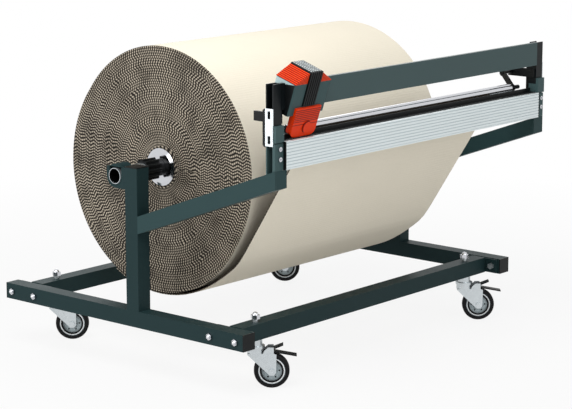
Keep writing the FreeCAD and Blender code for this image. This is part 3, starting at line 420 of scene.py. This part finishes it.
# orange plastic made lighter for the roof as painted light from above, with darker lines between its ribs as
# painted shade
roofOrangeLitGrooveShade = tintByPlace(
    newMaterial("roofOrangeLitGrooveShade", (0.78, 0.052, 0.005), 0.40, amount=0.06, gloss=0.12),
    (0.24, 0.008, 0.001), grooveShade("X", place["carriage"][0], first=0.027, pitch=0.051 / 9, share=0.42))
hubGrey = newMaterial("hubGrey", (0.34, 0.40, 0.42), 0.40, metallic=0.2, amount=0.08)
trimWhite = newMaterial("trimWhite", (0.80, 0.82, 0.83), 0.35, amount=0.04)
paleGrey = newMaterial("paleGrey", (0.34, 0.45, 0.46), 0.42, amount=0.06)
# dark orange for painted shade in the guard's grooves and painted shadow beside its button
orangeShade = newMaterial("orangeShade", (0.16, 0.005, 0.002), 0.5, amount=0.04, gloss=0.2)
# pale grey of the grip band studs: painted highlight
studHighlightGrey = newMaterial("studHighlightGrey", (0.50, 0.55, 0.56), 0.35, amount=0.10)
# dark brown flute paper, made darker still as painted shade between the sheet and the roll
kraftAndShade = newMaterial(
    "kraftAndShade", (0.060, 0.048, 0.036), 0.85, amount=0.12, scale=180, relief=0.1, gloss=0.2)
creamPaper = newBoard(
    "creamPaper", liner=(0.84, 0.78, 0.65), kraft=(0.42, 0.36, 0.28), recessShade=(0.05, 0.04, 0.03),
    pitch=0.0055, wave=0.0125)
# frame paint made lighter for the arms: painted light on their lit side faces
litArmPaint = newMaterial("litArmPaint", (0.022, 0.048, 0.050), 0.45, gloss=0.10, **paintGrain)
special = {
    "front_profile": ribbedAluminiumGrooveShade, "upper_bar": barPaint, "shaft_tube": shaftSteelBoreShade,
    "upright_left": uprightPaint, "upright_right": uprightPaint,
    "arm_left": litArmPaint, "arm_right": litArmPaint, "carriage_roof": roofOrangeLitGrooveShade,
}

slotOf = {part["node"]: part["material_slot"] for part in frame["record"]["subparts"]}
for nodeName, item in frame["nodes"].items():
    finish = special.get(nodeName, finishes[slotOf[nodeName]])
    if nodeName.startswith("wheel_hub"):
        finish = hubGrey
    if not item.material_slots:
        item.data.materials.append(finish)
    for materialSlot in item.material_slots:
        materialSlot.link = "OBJECT"
        materialSlot.material = finish
print("materials on the frame")


# the sheet of board from the slack turns under the roll up to the knife; its path is seen from the side
sheetOfBoard = {
    "path": [(0.288, 0.2599), (0.2573, 0.2442), (0.2259, 0.2315), (0.1937, 0.2218), (0.1608, 0.2148),
             (0.1273, 0.2107), (0.0934, 0.2093), (0.0595, 0.2108), (0.0258, 0.2153), (-0.0073, 0.2225),
             (-0.0394, 0.2324), (-0.0703, 0.2449), (-0.1006, 0.26), (-0.1307, 0.2779), (-0.16, 0.2977),
             (-0.1865, 0.3171), (-0.2084, 0.3345), (-0.2288, 0.3556), (-0.2539, 0.3909), (-0.5075, 0.7864)],
    "near": -0.475, "far": 0.445, "thick": 0.004, "liner": 0.0009, "linerStep": 0.008,
    "flute": 0.0110, "stepsPerFlute": 6, "fluteShare": 0.9, "flutePaper": 0.0005,
}


def along(points, step):
    # even steps along a line of points, each with its outward direction
    lengths = [0.0]
    for here, there in zip(points, points[1:]):
        lengths.append(lengths[-1] + math.dist(here, there))
    rounding = 1e-9
    count = int(lengths[-1] / step)
    result = []
    for index in range(count + 1):
        target = index * lengths[-1] / count
        part = max(i for i in range(len(points) - 1) if lengths[i] <= target + rounding)
        share = (target - lengths[part]) / (lengths[part + 1] - lengths[part])
        here, there = points[part], points[part + 1]
        dy, dz = there[0] - here[0], there[1] - here[1]
        size = math.hypot(dy, dz)
        result.append((here[0] + share * dy, here[1] + share * dz, -dz / size, dy / size))
    return result


def ribbon(name, profile, low, high, thickness):
    # a line of points drawn as a poly curve, extruded along the roll and given its thickness
    clearSelection()
    curve = bpy.data.curves.new(name, "CURVE")
    curve.dimensions = "3D"
    spline = curve.splines.new("POLY")
    spline.points.add(len(profile) - 1)
    for point, (y, z) in zip(spline.points, profile):
        point.co = (low, y, z, 1)
    line = bpy.data.objects.new(name, curve)
    bpy.context.collection.objects.link(line)
    pick(line)
    bpy.ops.object.convert(target="MESH")
    sheet = bpy.context.active_object
    editAll(sheet, bpy.ops.mesh.extrude_region_move,
            TRANSFORM_OT_translate={"value": (high - low, 0, 0)})
    settle(sheet, name)
    wall = sheet.modifiers.new("wall", "SOLIDIFY")
    wall.thickness = thickness
    wall.offset = 0
    bpy.ops.object.modifier_apply(modifier="wall")
    return editAll(sheet, bpy.ops.mesh.normals_make_consistent, inside=False)


def makeSheet():
    spec = sheetOfBoard
    middle = spec["thick"] - spec["liner"] / 2
    outside = [(y + ny * middle, z + nz * middle) for y, z, ny, nz in along(spec["path"], spec["linerStep"])]
    liner = ribbon("board_sheet_liner", outside, spec["near"], spec["far"], spec["liner"])
    bpy.ops.object.shade_smooth_by_angle(angle=math.radians(40))
    finishPiece(liner, "frame", creamPaper)

    # the flutes fill what the liner leaves of the thickness, on the side towards the roll; their near-black
    # brown is kraft darkened as painted shade
    tall = (spec["thick"] - spec["liner"]) / 2
    wavy = []
    for index, (y, z, ny, nz) in enumerate(along(spec["path"], spec["flute"] / spec["stepsPerFlute"])):
        turn = 2 * math.pi * index / spec["stepsPerFlute"]
        height = tall + tall * spec["fluteShare"] * math.cos(turn)
        wavy.append((y + ny * height, z + nz * height))
    fluting = ribbon("board_sheet_fluting", wavy, spec["near"], spec["far"], spec["flutePaper"])
    finishPiece(fluting, "frame", kraftAndShade)
    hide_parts("board_web")


makeSheet()
print("sheet of board")


# knife carriage trim, modelled upright about the carriage's own centre
def leanOnBar(piece):
    lean = Matrix.Rotation(place["carriageTilt"], 4, "X")
    return moveMesh(piece, Matrix.Translation(place["carriage"]) @ lean)


sidePanels = {
    "half": 0.078, "front": -0.031, "rear": 0.044, "top": 0.045, "low": -0.050, "paleDepth": 0.022,
    "rise": 0.0008, "inset": 0.003, "topInset": 0.001, "flashDrop": 0.004,
}


def makeSidePanels():
    # a black panel and above it a pale flash on each side of the housing; the black panel is painted shade
    # under the eave
    spec = sidePanels
    front, rear = spec["front"] + spec["inset"], spec["rear"] - spec["inset"]
    top, flashLow = spec["top"] - spec["topInset"], spec["top"] - spec["paleDepth"] - spec["flashDrop"]
    # they part along a line from the eave's front corner down to the rear
    normal = Vector((0, spec["paleDepth"], spec["rear"] - spec["front"])).normalized()
    panels, flashes = [], []
    for side in (-1, 1):
        low, high = sorted((side * spec["half"], side * (spec["half"] + spec["rise"])))
        corner = (low, spec["front"], spec["top"])
        panel = addBox("sidePanel", (low, front, spec["low"]), (high, rear, top))
        panels.append(cutAway(panel, corner, normal))
        flash = addBox("sideFlash", (low, front, flashLow), (high, rear, top))
        flashes.append(cutAway(flash, corner, -normal))
    panels = leanOnBar(join("carriage_side_shade_panels", panels))
    finishPiece(panels, "carriage", finishes["black_plastic"])
    flashes = leanOnBar(join("carriage_side_flashes", flashes))
    finishPiece(flashes, "carriage", paleGrey)


bandStuds = {
    "columns": 5, "rows": 9, "acrossPitch": 0.0094, "alongPitch": 0.0080, "size": 0.0052,
    "middleY": 0.0065, "base": 0.0795, "rise": 0.0007, "sink": 0.001,
}


def makeBandStuds():
    # one stud at a corner of the grip band, repeated across and along it; their pale grey is a painted
    # highlight on the band's glossy ribs
    spec = bandStuds
    half = spec["size"] / 2
    x = -(spec["columns"] - 1) / 2 * spec["acrossPitch"]
    y = spec["middleY"] - (spec["rows"] - 1) / 2 * spec["alongPitch"]
    studs = addBox("grip_band_highlight_studs", (x - half, y - half, spec["base"] - spec["sink"]),
                   (x + half, y + half, spec["base"] + spec["rise"]))
    repeat(studs, spec["columns"], (spec["acrossPitch"], 0, 0))
    repeat(studs, spec["rows"], (0, spec["alongPitch"], 0))
    finishPiece(leanOnBar(studs), "carriage", studHighlightGrey)


guardShadeLines = {
    "half": 0.054, "face": -0.0390, "rise": 0.0003, "sink": 0.0005,
    "top": -0.0335, "count": 7, "pitch": 0.0058, "lineHalf": 0.0011, "split": -0.0780, "splitHalf": 0.0010,
    "boss": (0.009, -0.0412, -0.088), "bossRadius": 0.0170, "crescent": 0.0015,
    "crescentCut": (0.75, 0, -0.66),
}


def makeGuardShadeLines():
    # fine dark lines across the knife guard and along its parting line, painted shade in these grooves, and a
    # crescent beside the button, painted shadow
    spec = guardShadeLines

    def addLine(z, half):
        return addBox("groove", (-spec["half"], spec["face"] - spec["rise"], z - half),
                      (spec["half"], spec["face"] + spec["sink"], z + half))

    lines = repeat(addLine(spec["top"], spec["lineHalf"]), spec["count"], (0, 0, -spec["pitch"]))
    parting = addLine(spec["split"], spec["splitHalf"])
    crescent = addRing("crescent", spec["boss"], spec["bossRadius"], spec["crescent"])
    cutAway(crescent, spec["boss"], spec["crescentCut"])
    lines = leanOnBar(join("knife_guard_shade_lines", [lines, parting, crescent]))
    finishPiece(lines, "carriage", orangeShade)


makeSidePanels()
makeBandStuds()
makeGuardShadeLines()
print("knife carriage trim")


# trim of the castor wheels, modelled on one wheel about its castor's stem and copied to all four
wheelTrim = {
    "ring": {"major": 0.0372, "width": 0.0013, "thick": 0.0006},
    "groove": {"major": 0.0330, "width": 0.0030, "thick": 0.0004}, "side": 0.0128,
    "holes": 6, "holeRing": 0.0225, "holeRadius": 0.0026, "holeSides": 12,
    "holeFace": 0.0066, "holeDepth": 0.0006,
    "trail": 0.048, "height": 0.053, "turn": math.radians(-49),
}
castors = {
    "front_left": (-0.527, -0.34005), "front_right": (0.527, -0.34005),
    "rear_left": (-0.527, 0.50995), "rear_right": (0.527, 0.50995),
}


def flatRing(name, centre, major, width, thick):
    # a torus pressed flat along its own axis
    ring = addRing(name, (0, 0, 0), major, width)
    return moveMesh(ring, Matrix.Translation(centre) @ Matrix.Diagonal((1, thick / width, 1, 1)))


def makeWheelTrim():
    spec = wheelTrim
    # the black groove rings and hole discs are painted shade in the hub's recesses
    rings, recessShade = [], []
    for side in (-1, 1):
        centre = (spec["trail"], side * spec["side"], spec["height"])
        rings.append(flatRing("ring", centre, **spec["ring"]))
        recessShade.append(flatRing("groove", centre, **spec["groove"]))
        for hole in range(spec["holes"]):
            angle = hole * 2 * math.pi / spec["holes"]
            x = spec["trail"] + spec["holeRing"] * math.cos(angle)
            y = side * spec["holeFace"] - spec["holeDepth"] / 2
            z = spec["height"] + spec["holeRing"] * math.sin(angle)
            recessShade.append(addRod("hole", (x, y, z), spec["holeDepth"], spec["holeRadius"], spec["holeSides"]))
    rings, recessShade = join("rings", rings), join("grooveShade", recessShade)
    for name, (x, y) in castors.items():
        spot = Matrix.Translation((x, y, 0)) @ Matrix.Rotation(spec["turn"], 4, "Z")
        ring = moveMesh(copyPiece(rings, f"wheel_ring_{name}"), spot)
        finishPiece(ring, f"wheel_{name}", trimWhite)
        groove = moveMesh(copyPiece(recessShade, f"wheel_recess_shade_{name}"), spot)
        finishPiece(groove, f"wheel_{name}", finishes["black_plastic"])
    for model in (rings, recessShade):
        bpy.data.objects.remove(model)


makeWheelTrim()
print("castor trim")


# floor, light and camera
studio = {
    "floorSize": 60, "floor": 0.64, "floorRoughness": 0.9, "floorGlow": 0.88, "glowFrom": 1.2, "glowTo": 3.0,
    "world": 0.42,
    "lamps": {
        "key": {"place": (-2.4, -0.9, 3.8), "aim": (0, 0, 0.5), "size": 2.6, "power": 130},
        "fill": {"place": (-1.0, -4.6, 1.9), "aim": (0, 0, 0.5), "size": 3.0, "power": 50},
        "side": {"place": (-4.2, 1.2, 1.0), "aim": (0, 0, 0.45), "size": 2.4, "power": 60},
        "rim": {"place": (3.0, 3.2, 3.2), "aim": (0, 0, 0.6), "size": 3.0, "power": 45},
    },
    "camera": (-4.8398, -4.1415, 1.7025), "azimuth": math.radians(-49.505), "elevation": math.radians(11.323),
    "lens": 126.85, "sensor": 36, "clipEnd": 100,
}


def seenRays(tree):
    # 1 where the camera looks, and in glossy reflections and through clear pieces
    path = addNode(tree, "LightPath", {}).outputs
    seen = mathNode(tree, "MAXIMUM", path["Is Camera Ray"], path["Is Glossy Ray"])
    return mathNode(tree, "MAXIMUM", seen, path["Is Transmission Ray"])


def makeFloor():
    clearSelection()
    bpy.ops.mesh.primitive_plane_add(size=studio["floorSize"], location=(0, 0, 0))
    floor = bpy.context.active_object
    floor.name = "floor"
    material, tree, shader = newShader("paleFloor")
    feed(tree, shader, {"Base Color": (studio["floor"],) * 3 + (1,), "Roughness": studio["floorRoughness"]})
    # seen directly or in a gloss, the floor turns white, fully so away from the stand
    coordinates = addNode(tree, "TexCoord", {})
    away = addNode(tree, "VectorMath", {}, operation="LENGTH")
    feed(tree, away, {0: coordinates.outputs["Object"]})
    fade = addNode(tree, "MapRange", {
        "Value": away.outputs["Value"], "From Min": studio["glowFrom"], "From Max": studio["glowTo"],
        "To Min": studio["floorGlow"]})
    white = mathNode(tree, "MULTIPLY", fade.outputs[0], seenRays(tree))
    glow = addNode(tree, "Emission", {})
    mix = addNode(tree, "MixShader", {0: white, 1: shader.outputs[0], 2: glow.outputs[0]})
    feed(tree, tree.nodes["Material Output"], {"Surface": mix.outputs[0]})
    floor.data.materials.append(material)


def makeWorld():
    # white where it is seen, dimmer as a light
    world = bpy.data.worlds.new("studioWorld")
    bpy.context.scene.world = world
    world.use_nodes = True
    tree = world.node_tree
    gain = mathNode(tree, "MULTIPLY", seenRays(tree), 1.0 - studio["world"])
    strength = mathNode(tree, "ADD", gain, studio["world"])
    feed(tree, tree.nodes["Background"], {"Color": (1, 1, 1, 1), "Strength": strength})


def makeLamps():
    for name, spec in studio["lamps"].items():
        data = bpy.data.lights.new(name, "AREA")
        data.size = spec["size"]
        data.energy = spec["power"]
        lamp = bpy.data.objects.new(name, data)
        lamp.location = spec["place"]
        direction = Vector(spec["aim"]) - Vector(spec["place"])
        lamp.rotation_euler = direction.to_track_quat("-Z", "Y").to_euler()
        bpy.context.collection.objects.link(lamp)


def makeCamera():
    data = bpy.data.cameras.new("camera")
    data.lens = studio["lens"]
    data.sensor_width = studio["sensor"]
    data.clip_end = studio["clipEnd"]
    camera = bpy.data.objects.new("camera", data)
    camera.location = studio["camera"]
    turn, lift = studio["azimuth"], studio["elevation"]
    back = Vector((math.sin(turn) * math.cos(lift), -math.cos(turn) * math.cos(lift), math.sin(lift)))
    camera.rotation_euler = back.to_track_quat("Z", "Y").to_euler()
    bpy.context.collection.objects.link(camera)
    bpy.context.scene.camera = camera


makeFloor()
makeWorld()
makeLamps()
makeCamera()
bpy.context.scene.view_settings.view_transform = "Standard"
print("studio")
